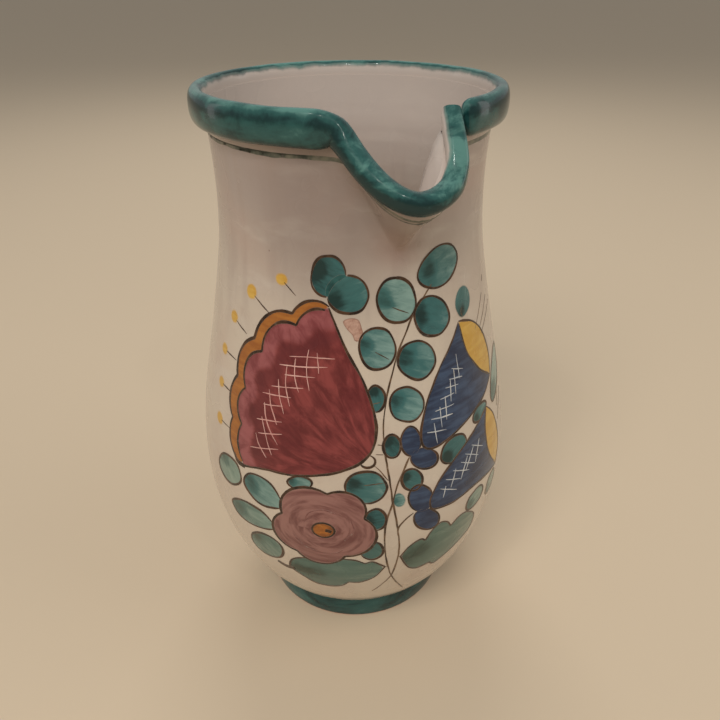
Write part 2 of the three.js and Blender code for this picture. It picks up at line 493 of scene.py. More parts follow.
def rim_glaze():
    """Green over the top and outside of the roll, cream on its inner side."""
    material, n, shader = glazed("rim_green_glaze")
    ground = n.group(TIN)
    where = n.place()
    section = n.parts(n.uv("section"))
    along = section["X"]
    # The brush went round with the wheel, so the green lies in long streaks
    from_middle = n.vector("LENGTH", n.vector("MULTIPLY", where, (1, 1, 0)))
    streaks = n.vector_of(n.times(along, 0.2), n.times(n.parts(where)["Z"], 1.2),
                          n.times(from_middle, 1.2))
    # Round the section: the outside is 0, the top 0.25, the inside 0.5
    turn = n.minus(n.maths("FRACT", n.plus(section["Y"], 0.3)), 0.3)
    turn = n.plus(turn, n.times(n.minus(n.noise(where, 130.0, 3.0, 0.6), 0.5), 0.1))
    inner = n.band(turn, 0.36, 0.43)
    shoulder = n.band(n.apart(turn, 0.055), 0.06, 0.0, 0.0, 0.14)
    # Painted shade makes the green darker on the roll's underside, and painted light makes it lighter on
    # the top face
    under = n.band(turn, -0.06, -0.2, 0.0, 0.12)
    top = n.band(n.apart(turn, 0.22), 0.13, 0.04, 0.0, 0.2)
    depth = n.plus(n.plus(shoulder, under), n.minus(0.55, top))
    # Along the beak, painted light and shade: the top of the lip lighter, its underside darker
    beak_light_and_shade = n.band(turn, 0.12, -0.06, 0.44, 0.78)
    beak = n.band(along, 0.868, 0.892)
    depth = n.mix_number(beak, depth, beak_light_and_shade)
    mottle = n.minus(n.noise(where, 120.0, 4.0, 0.65, 0.4), 0.5)
    depth = n.plus(depth, n.times(mottle, n.mix_number(beak, 0.45, 0.95)))
    green = n.group(GREEN, Vector=streaks, Depth=depth)
    # The roll's inner side takes the cream ground with painted light, as inside the mouth
    colour = n.mix(inner, green["Colour"], painted_light_inside(n, ground["Colour"], 1.0))
    # A pale line along the green's inner edge: thinner glaze there, and partly a painted highlight
    thin_glaze_and_highlight = n.band(n.apart(turn, 0.365), 0.03, 0.005, 0.0, 0.22)
    colour = n.mix(thin_glaze_and_highlight, colour, srgb(178, 192, 180))
    height = n.mix(inner, green["Height"], ground["Height"])
    wire_up(n, shader, colour, 0.22, height, 0.2)
    return material


def foot_glaze():
    """Green down to a ragged edge, with bare clay where the foot stands."""
    material, n, shader = glazed("foot_green_glaze")
    where = n.place()
    height = n.parts(where)["Z"]
    low_edge = n.band(height, 0.005, 0.001, 0.0, 0.12)
    green = n.group(GREEN, Vector=n.scaled(where, (0.5, 0.5, 1.6)), Depth=n.plus(0.57, low_edge))
    clay = n.mix(n.noise(where, 240.0, 5.0, 0.7), srgb(182, 128, 98), srgb(150, 98, 72))
    ring = n.noise(where, 120.0, 3.0, 0.5)
    edge = n.plus(n.times(ring, 0.0016), 0.0002)
    bare = n.maths("LESS_THAN", height, edge)
    colour = n.mix(bare, green["Colour"], clay)
    rough = n.plus(n.times(bare, 0.6), 0.2)
    wire_up(n, shader, colour, rough, green["Height"], 0.2)
    n.put(shader.inputs["Coat Weight"], n.minus(0.5, n.times(bare, 0.5)))
    return material


def wash(name, paint, soft=(-0.8, -0.2)):
    """A wash of colour that thins out to the ground at its edge."""
    material, n, shader = glazed(name)
    ground = n.group(TIN)
    colour = paint(n)
    edge = n.mark("edge")
    where = n.place()
    uneven = n.times(n.noise(where, 420.0, 3.0, 0.6), 0.7)
    cover = n.band(n.minus(edge, uneven), *soft)
    colour = n.mix(cover, ground["Colour"], colour)
    wire_up(n, shader, colour, ground["Roughness"], ground["Height"])
    return material


def brushed(n, where, turn, along, across, warp=0.4):
    """Streaks of a brush drawn at an angle over the drawing."""
    return n.noise(n.scaled(where, (along, across, 1.0), turn), 1.0, 4.0, 0.6, warp)


def leaf_paint(n):
    """Dark wet blob at one end, thin watery green at the other."""
    where = n.uv("leaf")
    place = n.place()
    tone, load = n.mark("tone"), n.mark("load")
    own = n.vector_of(n.times(load, 53.0), n.times(tone, 31.0))
    streak = brushed(n, n.vector("ADD", where, own), 0.0, 0.9, 3.2, 0.5)
    warp = n.vector("SUBTRACT", n.noise(place, 130.0, 2.0, 0.5, 0, True), (0.5, 0.5, 0.5))
    moved = n.vector("ADD", where, n.vector("MULTIPLY", warp, (0.6, 0.6, 0)))
    blob = n.band(n.vector("DISTANCE", moved, (-0.62, 0.0, 0)), 0.66, 0.05)
    value = n.plus(load, n.times(n.minus(streak, 0.5), 0.75))
    value = n.plus(value, n.times(blob, 0.46))
    value = n.minus(value, n.times(n.parts(where)["X"], 0.12))
    pooled = n.band(n.mark("edge"), 1.1, 0.2, 0.0, 0.18)
    value = n.plus(value, pooled)
    light = n.mix(tone, srgb(134, 168, 162), srgb(144, 158, 138))
    mid = n.mix(tone, srgb(56, 106, 106), srgb(84, 108, 94))
    dark = n.mix(tone, srgb(14, 50, 50), srgb(40, 62, 48))
    colour = n.mix(n.band(value, 0.0, 0.55), light, mid)
    return n.mix(n.band(value, 0.5, 1.1), colour, dark)


def seen_from(n, where, middle, squeeze=1.0):
    """Angle and reach of a place on the drawing, seen from a middle."""
    x, y, _ = n.parts(where)
    dx = n.times(n.minus(x, middle[0]), squeeze)
    dy = n.minus(y, middle[1])
    reach = n.maths("SQRT", n.plus(n.times(dx, dx), n.times(dy, dy)))
    return n.maths("ARCTAN2", dy, dx), reach


def burgundy_paint(n):
    """Pale petals along the scalloped edge, a dark sweep behind them, then
    strokes that fan out from the stalk."""
    stalk = (-0.10, 1.22)
    angle, reach = seen_from(n, n.uv("drawing"), stalk)
    fan = n.vector_of(n.times(angle, 6.5), n.times(reach, 5.0))
    streak = n.noise(fan, 1.6, 4.0, 0.6, 0.6)
    blotch = n.noise(n.place(), 55.0, 3.0, 0.5, 0.7)
    petal = n.plus(n.mark("petal"), n.times(blotch, 5.0))
    colour = n.mix(n.band(streak, 0.32, 0.66), srgb(140, 62, 61), srgb(100, 34, 37))
    colour = n.mix(n.band(blotch, 0.5, 0.72, 0.0, 0.55), colour, srgb(92, 24, 32))
    sweep = n.times(n.band(petal, 9.5, 13.0), n.band(petal, 20.0, 14.0, 0.0, 0.5))
    colour = n.mix(sweep, colour, srgb(92, 32, 40))
    pale = n.band(petal, 12.0, 8.5, 0.0, 0.85)
    petals = n.mix(n.band(streak, 0.4, 0.65), srgb(158, 90, 92), srgb(128, 60, 64))
    colour = n.mix(pale, colour, petals)
    return n.mix(n.band(n.mark("edge"), 1.8, 0.2, 0.0, 0.3), colour, srgb(96, 34, 36))


def flat_paint(low, high, scale=90.0, turn=0.8):
    """One pigment laid on in slanting strokes, between its two tones."""
    def paint(n):
        streak = brushed(n, n.uv("drawing"), turn, 5.0, 34.0)
        mottle = n.noise(n.place(), scale, 4.0, 0.6, 0.5)
        mixed = n.plus(n.times(streak, 0.6), n.times(mottle, 0.4))
        colour = n.mix(n.band(mixed, 0.36, 0.62), srgb(*low), srgb(*high))
        return n.mix(n.band(n.mark("edge"), 1.4, 0.1, 0.0, 0.5), colour, srgb(*high))
    return paint


def rose_paint(n):
    """Mauve strokes that circle the heart of the rose."""
    heart = (-0.385, 0.938)
    angle, reach = seen_from(n, n.uv("drawing"), heart, 0.9)
    whirl = n.vector_of(n.times(reach, 26.0), n.times(angle, 0.8))
    swirl = n.noise(whirl, 1.0, 3.0, 0.6, 0.4)
    blotch = n.noise(n.place(), 60.0, 3.0, 0.5, 0.5)
    colour = n.mix(n.band(swirl, 0.4, 0.68), srgb(152, 108, 100), srgb(112, 68, 64))
    colour = n.mix(n.band(blotch, 0.55, 0.75, 0.0, 0.5), colour, srgb(108, 64, 60))
    return n.mix(n.band(n.mark("edge"), 1.5, 0.2, 0.0, 0.3), colour, srgb(170, 130, 120))


def line_glaze(name, dark, light, thin=0.25):
    """A drawn line, soft at its sides and broken where the brush ran dry."""
    material, n, shader = glazed(name)
    ground = n.group(TIN)
    place = n.place()
    load = n.noise(place, 160.0, 3.0, 0.6)
    colour = n.mix(n.band(load, 0.35, 0.65), srgb(*dark), srgb(*light))
    side = n.apart(n.parts(n.uv("stroke"))["Y"], 0.5)
    colour = n.mix(n.band(side, 0.42, 0.5, 0.0, 0.35), colour, ground["Colour"])
    dry = n.band(n.noise(place, 380.0, 3.0, 0.6), 0.55, 0.75, 0.0, thin)
    colour = n.mix(dry, colour, ground["Colour"])
    wire_up(n, shader, colour, 0.26, ground["Height"])
    return material


def chip_clay():
    """Where a flake of glaze has come off: rough pink clay."""
    material, n, shader = glazed("bare_chip")
    place = n.place()
    grain = n.noise(place, 500.0, 5.0, 0.7)
    colour = n.mix(n.band(grain, 0.35, 0.7), srgb(196, 160, 142), srgb(158, 118, 102))
    colour = n.mix(n.band(n.mark("edge"), 0.6, 0.0, 0.0, 0.8), colour, srgb(140, 100, 84))
    wire_up(n, shader, colour, 0.35, grain, 0.6, 0.0006)
    return material


# ---------------------------------------------------------------- the thrown pieces
def section_points():
    """The wall cut from axis to axis: outside up, over the top, inside down."""
    belly_rows, neck_rows = 46, 40
    neck = BEAK_FOOT - 4
    top = RIM_TOP - 8
    outside = [FOOT_TOP - 1.0, FOOT_TOP]
    outside += [FOOT_TOP + (neck - FOOT_TOP) * i / belly_rows for i in range(1, belly_rows + 1)]
    outside += [neck + (top - neck) * i / neck_rows for i in range(1, neck_rows + 1)]
    points = [(0.0, outside[0])]
    points += [(wall_radius(z), z) for z in outside]
    floor = FOOT_TOP + FLOOR
    corner, corner_width = 7, 16
    inside = [z for z in reversed(outside) if z > floor + corner]
    inside = [z for i, z in enumerate(inside) if z > BEAK_FOOT - 8 or i % 2 == 0]
    for z in inside:
        rings = 0.22 * noise.noise(Vector((0.4, 0.8, z / 4.5))) * ease((260 - z) / 12)
        points.append((wall_radius(z) - thickness(z) + rings, z))
    last, low = points[-1][0], inside[-1]
    for share in (0.3, 0.6, 0.85, 1.0):
        turn = share * math.pi / 2
        points.append((last - corner_width * (1 - math.cos(turn)),
                       low - (low - floor) * math.sin(turn)))
    points += [(last - 26, floor), (0.0, floor)]
    return points


def make_wall(steps=224):
    """The section spun round, its beak drawn out and a step cut under the roll."""
    points = section_points()
    bpy.ops.object.select_all(action="DESELECT")
    bpy.ops.mesh.primitive_circle_add(vertices=len(points), radius=1, fill_type="NOTHING")
    wall = new_piece("thrown_wall")
    for corner, (radius, height) in zip(wall.data.vertices, points):
        corner.co = Vector((0, -radius, height)) * MM
    bpy.ops.object.mode_set(mode="EDIT")
    bpy.ops.mesh.select_all(action="SELECT")
    bpy.ops.mesh.spin(steps=steps, angle=2 * math.pi, center=(0, 0, 0), axis=(0, 0, 1))
    bpy.ops.object.mode_set(mode="OBJECT")
    tidy_mesh(wall, 2e-6, recalc=False)
    # Columns gather into the fold of the beak, then the clay is drawn out
    inner = []
    step_depth = 0.9
    for corner in wall.data.vertices:
        x, y, z = corner.co / MM
        radius = math.hypot(x, y)
        inner.append(0.0 if wall_radius(z) - radius < 0.6 else 1.0)
        if radius < 30 or z < BEAK_FOOT - GATHERING:
            continue
        angle = gathered(math.atan2(x, -y), z)
        deep = wall_radius(z) - radius
        if deep > 0.01:
            deep += thickness(z, angle) - thickness(z)
        if z > WALL_TOP - 9 and deep < 0.01:
            deep -= step_depth * ease((z - ledge(angle)) / 1.2)
        corner.co = on_wall(angle, z, -deep) * MM
    mark = wall.data.attributes.new("inner", "FLOAT", "POINT")
    mark.data.foreach_set("value", inner)
    tidy_mesh(wall, 2e-6)
    smooth(wall, 60)
    return wall


def gathered(angle, height):
    """Moves a column of the wall so that the columns run along the folds."""
    half, wide = beak_half(height), math.radians(70)
    size = straight = abs(angle)
    if size <= BEAK_HALF:
        size *= half / BEAK_HALF
    elif size < wide:
        size = half + (size - BEAK_HALF) * (wide - half) / (wide - BEAK_HALF)
    fade = ease((height - BEAK_FOOT + GATHERING) / GATHERING)
    return math.copysign(straight + (size - straight) * fade, angle)


def coil(share, start, whole):
    """Middle, width and height of the roll a share of the way along it."""
    angle = start + whole * share
    # From -1 to 1 over the beak, and below -1 all the way before it
    across = (angle - 2 * math.pi) / BEAK_HALF
    arch = beak_arch(across) if across > -3 else 0.0
    slim = ease((across + 1.35) / 0.6)
    far = ease((across - 0.1) / 0.9)
    curl = ease((across - 0.5) / 0.3)
    width = ROLL_WIDTH + 2.0 * slim - 1.4 * far
    height = ROLL_HEIGHT - 5.2 * slim - 0.5 * ease((across + 0.2) / 0.6) - 0.4 * far
    radius = ROLL_RADIUS - 3.2 * slim + BEAK_REACH * arch - 5.0 * curl
    rise = 8.4 * ease((across - 0.35) / 0.5) + 2.2 * curl
    angle += 0.017 * ease((across - 0.1) / 0.3) * ease((0.75 - across) / 0.3)
    middle = Vector((math.sin(angle) * radius, -math.cos(angle) * radius,
                     ROLL_MIDDLE - BEAK_DROP * arch + rise))
    return middle, width, height


def make_roll(sides=40, cuts=(20, 20), rows=441):
    """A coil of clay: it starts blunt at the beak's right corner, goes right
    round the mouth, runs down along the beak and ends standing beside its start."""
    roll = rod("rim_roll", sides, cuts)
    start = BEAK_HALF * 0.99
    whole = 2 * math.pi - (start - BEAK_HALF * 0.8)
    step = 0.002
    squareness = 0.78
    up = Vector((0, 0, 1))
    layer = roll.data.uv_layers.new(name="section")
    where = {}
    for corner in roll.data.vertices:
        x, y, z = corner.co
        share = z + 0.5
        here, width, height = coil(share, start, whole)
        after = coil(min(share + step, 1), start, whole)[0]
        before = coil(max(share - step, 0), start, whole)[0]
        along = (after - before).normalized()
        out = along.cross(up).normalized()
        rise = out.cross(along).normalized()
        turn = math.atan2(y, x)
        reach = math.hypot(x, y)
        # The start is rounded off over five rows, the end over three
        blunt = min(share * rows / 5, 1.0, (1 - share) * rows / 3 + 0.3)
        size = math.sqrt(max(0.0, 1 - (1 - blunt) ** 2)) * 0.4 + 0.6
        size *= 1 + 0.03 * noise.noise(Vector((share * 26, 0.3, 0.7)))
        across, over = (math.copysign(abs(way) ** squareness, way) * reach
                        for way in (math.cos(turn), math.sin(turn)))
        here = here + (out * (across * width) + rise * (over * height)) * size / 2
        where[corner.index] = (share, (turn / (2 * math.pi)) % 1.0)
        corner.co = here * MM
    for face in roll.data.polygons:
        turns = [where[i][1] for i in face.vertices]
        wrap = max(turns) - min(turns) > 0.5
        for loop in face.loop_indices:
            share, turn = where[roll.data.loops[loop].vertex_index]
            layer.data[loop].uv = (share, turn + 1.0 if wrap and turn < 0.5 else turn)
    tidy_mesh(roll)
    smooth(roll, 60)
    return roll


def make_foot():
    """A disc, rounded at both rims and hollowed a little underneath."""
    bpy.ops.object.select_all(action="DESELECT")
    bpy.ops.mesh.primitive_cylinder_add(
        vertices=192, radius=FOOT_RADIUS * MM, depth=FOOT_TOP * MM,
        location=(0, 0, FOOT_TOP * MM / 2), end_fill_type="NGON")
    foot = new_piece("foot_disc")
    bpy.ops.object.transform_apply(location=True, rotation=True, scale=True)
    bpy.ops.object.mode_set(mode="EDIT")
    bpy.ops.mesh.select_all(action="SELECT")
    bpy.ops.mesh.bisect(plane_co=(0, 0, FOOT_TOP * 0.55 * MM), plane_no=(0, 0, 1))
    bpy.ops.mesh.select_all(action="DESELECT")
    bpy.ops.object.mode_set(mode="OBJECT")
    for corner in foot.data.vertices:
        if corner.co.z > (FOOT_TOP - 0.1) * MM:
            corner.co.x *= 1 - 1.2 / FOOT_RADIUS
            corner.co.y *= 1 - 1.2 / FOOT_RADIUS
    for height, size, segments in ((0.0, 1.4, 4), (FOOT_TOP, 2.0, 5)):
        bpy.ops.object.mode_set(mode="OBJECT")
        for edge in foot.data.edges:
            ends = [foot.data.vertices[i].co.z / MM for i in edge.vertices]
            edge.select = all(abs(z - height) < 0.05 for z in ends)
        bpy.ops.object.mode_set(mode="EDIT")
        bpy.ops.mesh.select_mode(type="EDGE")
        bpy.ops.mesh.bevel(offset=size * MM, segments=segments, profile=0.5)
        bpy.ops.mesh.select_all(action="DESELECT")
    bpy.ops.mesh.select_mode(type="FACE")
    bpy.ops.object.mode_set(mode="OBJECT")
    for face in foot.data.polygons:
        face.select = face.normal.z < -0.99 and len(face.vertices) > 20
    bpy.ops.object.mode_set(mode="EDIT")
    bpy.ops.mesh.inset(thickness=6 * MM)
    bpy.ops.mesh.inset(thickness=1.2 * MM, depth=-1.0 * MM)
    bpy.ops.object.mode_set(mode="OBJECT")
    tidy_mesh(foot)
    smooth(foot, 35)
    return foot


def make_handle(sides=32, cuts=(9, 8)):
    """A pulled strap, ridged along its back and spread where it joins the wall."""
    handle = rod("strap_handle", sides, cuts)
    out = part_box("handle")[1][1] / MM - STRAP_THICK / 2
    at_top, at_foot = wall_radius(STRAP_TOP), wall_radius(STRAP_FOOT)
    path = smooth_line([
        (0, at_top - 4, STRAP_TOP - 2), (0, at_top + 12, STRAP_TOP + 6.5),
        (0, out - 6, STRAP_TOP - 2), (0, out, STRAP_TOP - 24), (0, out - 1.5, STRAP_TOP - 52),
        (0, at_foot + 14, STRAP_FOOT + 22), (0, at_foot + 3, STRAP_FOOT + 4),
        (0, at_foot - 4, STRAP_FOOT - 5)], 12)
    for corner in handle.data.vertices:
        x, y, z = corner.co
        share = z + 0.5
        spot = share * (len(path) - 1)
        i = min(int(spot), len(path) - 2)
        here = path[i].lerp(path[i + 1], spot - i)
        a, b = path[max(i - 2, 0)], path[min(i + 3, len(path) - 1)]
        along = (b - a).normalized()
        through = Vector((0, -along.z, along.y))
        flare = 1 + 0.34 * abs(2 * share - 1) ** 6
        ridge = 1 + 0.16 * (1 - abs(x)) * (1 if y > 0 else 0)
        corner.co = (here + Vector((x * STRAP_WIDTH / 2 * flare, 0, 0))
                     + through * (y * STRAP_THICK / 2 * flare * ridge)) * MM
    tidy_mesh(handle)
    smooth(handle, 60)
    return handle


# ---------------------------------------------------------------- drawing helpers
def smooth_line(points, steps, closed=False):
    """A smooth line through points; works on 2-D and 3-D points."""
    points = [Vector(p) for p in points]
    count = len(points)
    result = []
    spans = count if closed else count - 1
    for i in range(spans):
        if closed:
            p = [points[(i + k) % count] for k in (-1, 0, 1, 2)]
        else:
            p = [points[min(max(i + k, 0), count - 1)] for k in (-1, 0, 1, 2)]
        for s in range(steps):
            t = s / steps
            result.append(0.5 * ((2 * p[1]) + (p[2] - p[0]) * t
                                 + (2 * p[0] - 5 * p[1] + 4 * p[2] - p[3]) * t * t
                                 + (3 * p[1] - p[0] - 3 * p[2] + p[3]) * t**3))
    if not closed:
        result.append(points[-1].copy())
    return result


def arc_through(a, b, c, steps=10):
    """Points on the round from a through b to c, without the last one."""
    a, b, c = Vector(a), Vector(b), Vector(c)
    d = 2 * (a.x * (b.y - c.y) + b.x * (c.y - a.y) + c.x * (a.y - b.y))
    if abs(d) < 1e-6:
        return [a.lerp(c, i / steps) for i in range(steps)]
    sa, sb, sc = a.length_squared, b.length_squared, c.length_squared
    middle = Vector(((sa * (b.y - c.y) + sb * (c.y - a.y) + sc * (a.y - b.y)) / d,
                     (sa * (c.x - b.x) + sb * (a.x - c.x) + sc * (b.x - a.x)) / d))
    radius = (a - middle).length
    first, via, last = (math.atan2(*(p - middle).yx) for p in (a, b, c))
    whole = (last - first) % (2 * math.pi)
    if (via - first) % (2 * math.pi) > whole:
        whole -= 2 * math.pi
    return [middle + radius * Vector((math.cos(first + whole * i / steps),
                                      math.sin(first + whole * i / steps)))
            for i in range(steps)]


def scalloped(marks, steps=10):
    """Rounds between cusps: cusp, crown, cusp, crown, ... cusp."""
    line = []
    for i in range(0, len(marks) - 2, 2):
        line += arc_through(marks[i], marks[i + 1], marks[i + 2], steps)
    line.append(Vector(marks[-1]))
    return line


def even(points, gap, closed=False):
    """The same line with points an even distance apart."""
    line = list(points) + ([points[0]] if closed else [])
    lengths = [0.0]
    for a, b in zip(line, line[1:]):
        lengths.append(lengths[-1] + (b - a).length)
    count = max(2, round(lengths[-1] / gap))
    result, k = [], 0
    for i in range(count if closed else count + 1):
        at = lengths[-1] * i / count
        while k + 2 < len(line) and lengths[k + 1] < at:
            k += 1
        span = lengths[k + 1] - lengths[k]
        result.append(line[k].lerp(line[k + 1], (at - lengths[k]) / span if span else 0))
    return result


def edge_distance(point, outline):
    return line_distance(point, outline + outline[:1])


def line_distance(point, line):
    best = 1e9
    for a, b in zip(line, line[1:]):
        along = b - a
        t = max(0.0, min(1.0, (point - a).dot(along) / max(along.length_squared, 1e-9)))
        best = min(best, (a + along * t - point).length)
    return best


def inside(point, outline):
    """True when a point of the drawing lies within a closed outline."""
    odd = False
    for a, b in zip(outline, outline[1:] + outline[:1]):
        if (a.y > point.y) != (b.y > point.y):
            if point.x < a.x + (point.y - a.y) / (b.y - a.y) * (b.x - a.x):
                odd = not odd
    return odd


def stretches(outline, keep):
    """The stretches of a closed outline whose points are kept, and whether
    the line is still whole."""
    line = even(outline, 0.8, closed=True)
    kept = [keep(p) for p in line]
    if all(kept):
        return [outline], True
    first = kept.index(False)
    runs = [[]]
    for k in range(len(line)):
        i = (first + k) % len(line)
        if kept[i]:
            runs[-1].append(line[i])
        else:
            runs.append([])
    return [run for run in runs if len(run) > 3], False


def face_outward(piece):
    """Turns every face of a draped sheet away from the wall."""
    for face in piece.data.polygons:
        outward = face.center.copy()
        outward.z = 0
        if face.normal.dot(outward) < 0:
            face.flip()


def thicken(piece, depth=0.35):
    """Gives a draped sheet of paint its thickness, into the wall."""
    alone(piece)
    solid = piece.modifiers.new("thickness", "SOLIDIFY")
    solid.thickness = depth * MM
    solid.offset = -1.0
    solid.use_even_offset = False
    bpy.ops.object.modifier_apply(modifier="thickness")


def put_marks(piece, places, edges, extra=None):
    """Writes the drawing's own coordinates and edge distances on a flat sheet."""
    mesh = piece.data
    drawing = mesh.uv_layers.new(name="drawing")
    for loop in mesh.loops:
        x, y = places[loop.vertex_index]
        drawing.data[loop.index].uv = (x / 100, y / 100)
    near = mesh.attributes.new("edge", "FLOAT", "POINT")
    near.data.foreach_set("value", edges)
    for name, values in (extra or {}).items():
        mark = mesh.attributes.new(name, "FLOAT", "POINT")
        mark.data.foreach_set("value", values)


def painted_patch(name, outline, lift, grid=2.6, gap=1.2, tone=None, load=0.4, petals=None):
    """A flat sheet cut to an outline, scored into small squares and draped."""
    outline = even(outline, gap, closed=True)
    bpy.ops.object.select_all(action="DESELECT")
    bpy.ops.mesh.primitive_circle_add(vertices=len(outline), radius=1, fill_type="NGON")
    patch = new_piece(name)
    for corner, point in zip(patch.data.vertices, outline):
        corner.co = (point.x, point.y, 0)
    bpy.ops.object.mode_set(mode="EDIT")
    bpy.ops.mesh.select_all(action="SELECT")
    bpy.ops.mesh.quads_convert_to_tris(ngon_method="BEAUTY")
    low = [min(p[i] for p in outline) for i in (0, 1)]
    high = [max(p[i] for p in outline) for i in (0, 1)]
    for axis in (0, 1):
        at = low[axis] + grid * 0.7
        while at < high[axis]:
            spot, face = [0, 0, 0], [0, 0, 0]
            spot[axis], face[axis] = at, 1
            bpy.ops.mesh.select_all(action="SELECT")
            bpy.ops.mesh.bisect(plane_co=spot, plane_no=face)
            at += grid
    bpy.ops.mesh.select_all(action="SELECT")
    bpy.ops.mesh.remove_doubles(threshold=0.02)
    bpy.ops.mesh.normals_make_consistent(inside=False)
    bpy.ops.object.mode_set(mode="OBJECT")
    if patch.data.polygons[0].normal.z < 0:
        patch.data.flip_normals()
    flat = [corner.co.xy.copy() for corner in patch.data.vertices]
    edges = [edge_distance(p, outline) for p in flat]
    extra = {}
    if tone is not None:
        extra = {"tone": [tone] * len(flat), "load": [load] * len(flat)}
    if petals is not None:
        extra["petal"] = [line_distance(p, petals) for p in flat]
    put_marks(patch, flat, edges, extra)
    if tone is not None:
        leaf = patch.data.uv_layers.new(name="leaf")
        for loop in patch.data.loops:
            x, y = flat[loop.vertex_index]
            leaf.data[loop.index].uv = (2 * (x - low[0]) / (high[0] - low[0]) - 1,
                                        2 * (y - low[1]) / (high[1] - low[1]) - 1)
    for corner, point in zip(patch.data.vertices, flat):
        corner.co = draped(point.x, point.y, lift)
    thicken(patch)
    smooth(patch, 50)
    return patch


def stroke(points, width, lift, gap=0.9, closed=False, taper=(0.5, 0.4), seed=0.0):
    """One brush line: a ribbon that swells and thins as the hand presses."""
    line = even(points, gap, closed)
    if closed:
        line.append(line[0].copy())
    count = len(line) - 1
    bpy.ops.object.select_all(action="DESELECT")
    bpy.ops.mesh.primitive_grid_add(x_subdivisions=count, y_subdivisions=2, size=1)
    ribbon = new_piece("stroke")
    mesh = ribbon.data
    columns = sorted(mesh.vertices, key=lambda v: (round(v.co.x, 6), v.co.y))
    across = {}
    length = gap * count
    for i, here in enumerate(line):
        before, after = line[max(i - 1, 0)], line[min(i + 1, count)]
        if closed and i in (0, count):
            before, after = line[count - 1], line[1]
        along = (after - before)
        along = along.normalized() if along.length else Vector((1, 0))
        side = Vector((-along.y, along.x))
        share = i / count
        press = 0.8 + 0.45 * noise.noise(Vector((share * length / 9 + seed * 3.1, seed, 0.5)))
        if not closed:
            press *= taper[0] + (1 - taper[0]) * min(1, share * length / 3)
            press *= taper[1] + (1 - taper[1]) * min(1, (1 - share) * length / 3)
        drift = 0.18 * noise.noise(Vector((share * length / 5 + 7, seed * 1.7, 2.2)))
        for j, corner in enumerate(columns[i * 3:i * 3 + 3]):
            spot = here + side * ((j - 1) * width / 2 * press + (0 if closed else drift))
            corner.co = draped(spot.x, spot.y, lift)
            across[corner.index] = (share * length / 100, j / 2)
    layer = mesh.uv_layers[0]
    layer.name = "stroke"
    for loop in mesh.loops:
        layer.data[loop.index].uv = across[loop.vertex_index]
    return ribbon


def strokes_piece(name, ribbons, material):
    piece = joined(ribbons, name)
    face_outward(piece)
    thicken(piece, 0.3)
    smooth(piece, 50)
    finish_piece(piece, material)


# ---------------------------------------------------------------- leaves
# Length and width are half steps from the middle, blob is the direction of the
# darkest paint in degrees, tone runs from 0 blue-green to 1 olive, point is how
# sharp the near end is, and load how full the brush was
Leaf = namedtuple("Leaf", "middle length width blob tone point outlined load")
LEAVES = [Leaf(*leaf) for leaf in (
    ((-36.0, 210.6), (0.0, 8.5), (8.5, 0.3), 160, 0.0, 0, 1, 0.75),
    ((-26.6, 203.5), (0.0, 7.7), (10.0, 0.0), 198, 0.1, 0, 1, 0.6),
    ((-13.1, 180.9), (0.3, 8.7), (8.8, -0.8), 165, 0.1, 0, 1, 0.3),
    ((-2.8, 199.9), (0.3, 9.2), (10.0, -1.2), 172, 0.2, 0, 1, 0.22),
    ((22.4, 210.0), (9.1, 7.1), (9.9, -4.8), 190, 0.1, 0, 1, 0.42),
    ((16.2, 190.2), (0.7, 8.5), (10.3, -2.2), 164, 0.0, 0, 1, 0.6),
    ((38.2, 191.0), (2.3, 6.2), (6.2, -2.1), 240, 0.1, 0.6, 0, 0.55),
    ((6.2, 173.3), (0.7, 8.3), (9.9, -2.1), 160, 0.0, 0, 1, 0.45),
    ((-0.4, 155.0), (0.5, 7.8), (8.3, -1.6), 157, 0.0, 0, 1, 0.35),
    ((-14.7, 159.4), (0.2, 6.0), (4.2, -0.4), 100, 0.0, 0, 1, 0.7),
    ((-8.2, 137.3), (0.2, 5.5), (3.9, -0.7), 130, 0.0, 0, 1, 0.85),
    ((22.6, 126.7), (5.2, 5.4), (5.9, -3.4), 209, 0.1, 0, 1, 0.65),
    ((0.4, 118.8), (0.1, 5.6), (4.9, -1.4), 148, 0.1, 0, 1, 0.65),
    ((-5.7, 109.5), (0.0, 3.9), (3.0, -0.7), 180, 0.2, 0, 0, 0.3),
    ((42.5, 136.1), (4.6, 3.4), (4.7, -1.9), 200, 0.2, 0, 1, 0.5),
    ((38.3, 88.9), (5.7, 3.6), (4.1, -4.5), 210, 0.7, 0.4, 1, 0.25),
    ((55.5, 86.5), (3.9, 5.3), (4.5, -4.0), 210, 0.7, 0.4, 1, 0.2),
    ((66.2, 145.6), (9.4, 10.9), (5.8, -3.2), 220, 0.4, 0.8, 1, 0.1),
    ((-89.3, 108.1), (-5.0, 6.0), (7.8, 5.2), 130, 0.7, 0, 1, 0.2),
    ((-67.8, 107.2), (-9.3, 4.4), (4.3, 6.9), 162, 0.3, 1, 1, 0.3),
    ((-76.1, 88.4), (-12.4, 1.5), (5.1, 7.0), 178, 0.6, 1, 1, 0.3),
    ((-69.8, 70.2), (-8.3, 3.4), (6.0, 8.3), 140, 0.7, 0.3, 1, 0.4),
    ((-48.5, 118.6), (0.0, 3.3), (5.7, 1.0), 180, 0.2, 0, 1, 0.35),
    ((-19.7, 118.3), (0.1, 8.0), (9.0, -0.6), 160, 0.1, 0.2, 1, 0.5),
    ((-15.8, 100.3), (0.0, 6.3), (4.6, -0.6), 180, 0.0, 0, 1, 0.8),
    ((-17.5, 80.4), (-0.1, 6.4), (5.2, -0.7), 140, 0.4, 0, 1, 0.65),
)]


def pointed(along, side, point):
    """Draws the near end of a round out to a point."""
    if along < 0:
        side *= 1 - 0.45 * point * along * along
        along *= 1 + 0.12 * point
    return along, side


